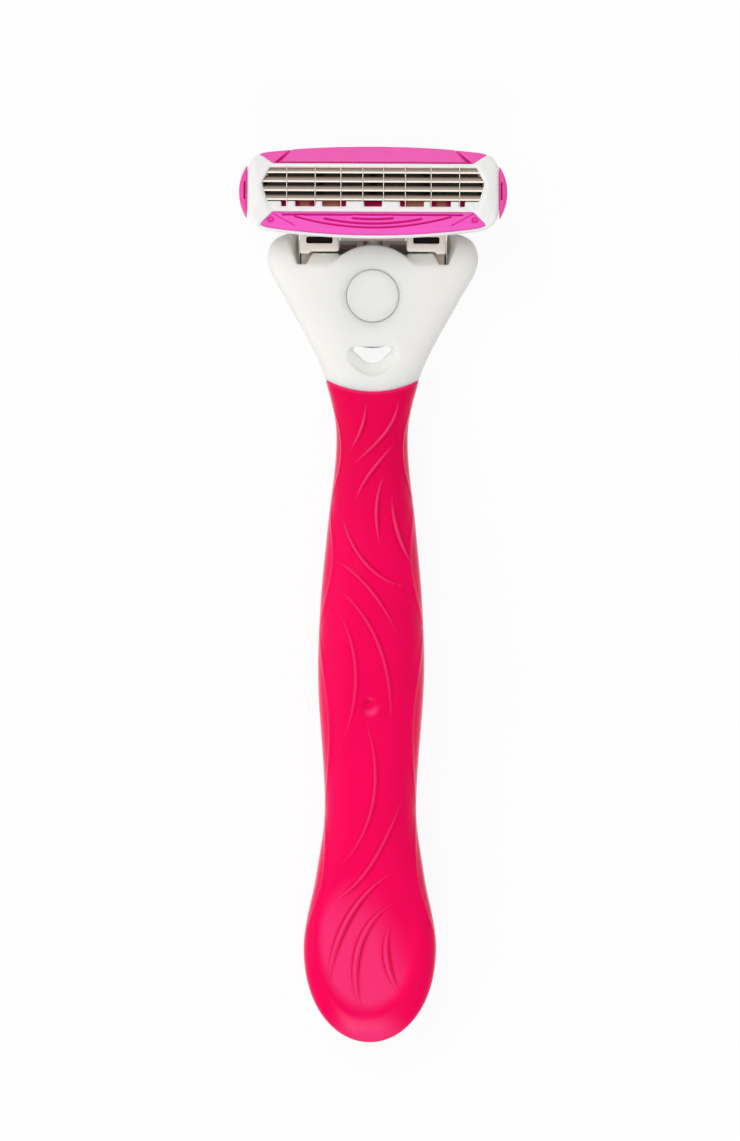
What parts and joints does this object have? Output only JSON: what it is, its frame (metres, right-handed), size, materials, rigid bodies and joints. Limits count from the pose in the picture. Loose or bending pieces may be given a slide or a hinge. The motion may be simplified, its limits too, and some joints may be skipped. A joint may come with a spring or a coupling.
{
  "type": "cartridge razor",
  "caption": "Wet-shave razor with a pivoting, clip-off blade cartridge, a push-button release in a flared neck, and a soft moulded grip that ends in a hollowed thumb rest.",
  "frame": {"origin": "centre of the flat back of the neck, on the surface that the razor lies on", "axes": "+Y along the handle from the tail to the head, +Z away from the surface towards the shaving side, +X across the cartridge to the right when seen from the shaving side"},
  "size_m": [0.0428, 0.1434, 0.0158],
  "materials": {
    "white_plastic": "satin moulded white plastic",
    "base_plastic": "matt dark taupe plastic",
    "grip_rubber": "satin soft-touch elastomer, deep pink",
    "trim_plastic": "satin pink plastic",
    "lubricating_strip": "fine-grained, slightly waxy pink strip",
    "guard_rubber": "soft pink elastomer",
    "blade_steel": "ground stainless steel with a bright bevel",
    "spring_steel": "drawn spring wire and strip"
  },
  "bodies": {
    "handle": {"neck_shell": "white_plastic", "back_cover": "white_plastic", "grip_sleeve": "grip_rubber", "button_spring": "spring_steel", "latch_spring": "spring_steel"},
    "button": {"release_button": "white_plastic"},
    "connector": {"connector": "white_plastic", "plunger_spring": "spring_steel"},
    "plunger": {"return_plunger": "white_plastic"},
    "cartridge": {"cartridge_base": "base_plastic", "cover_frame": "white_plastic", "cap_carrier": "trim_plastic", "lubricating_strip": "lubricating_strip", "guard_pad": "guard_rubber", "end_pad_left": "guard_rubber", "end_pad_right": "guard_rubber", "guard_wires": "blade_steel", "blade_1": "blade_steel", "blade_2": "blade_steel", "blade_3": "blade_steel", "blade_4": "blade_steel", "blade_support_1": "blade_steel", "blade_support_2": "blade_steel", "blade_support_3": "blade_steel", "blade_support_4": "blade_steel"}
  },
  "joints": [
    {"name": "button_press", "type": "slide", "parent": "handle", "child": "button", "axis": [0, 0, -1], "range_m": [0, 0.0014], "stiffness_N_per_m": 600, "springref_m": -0.001, "deforming": ["button_spring", "latch_spring"]},
    {"name": "cartridge_release", "type": "slide", "parent": "handle", "child": "connector", "axis": [0, 1, 0], "range_m": [0, 0.012], "deforming": ["latch_spring"]},
    {"name": "cartridge_pivot", "type": "hinge", "parent": "connector", "child": "cartridge", "pos_m": [0, 0.015, 0.0078], "axis": [-1, 0, 0], "range_deg": [0, 40], "stiffness_Nm_per_rad": 0.02, "springref_deg": -17.19, "deforming": ["plunger_spring"]},
    {"name": "plunger_slide", "type": "slide", "parent": "connector", "child": "plunger", "axis": [0, -1, 0], "range_m": [0, 0.00175], "deforming": ["plunger_spring"]}
  ],
  "couplings": [
    {"joint": "plunger_slide", "follows": "cartridge_pivot", "m_per_rad": 0.0024}
  ]
}
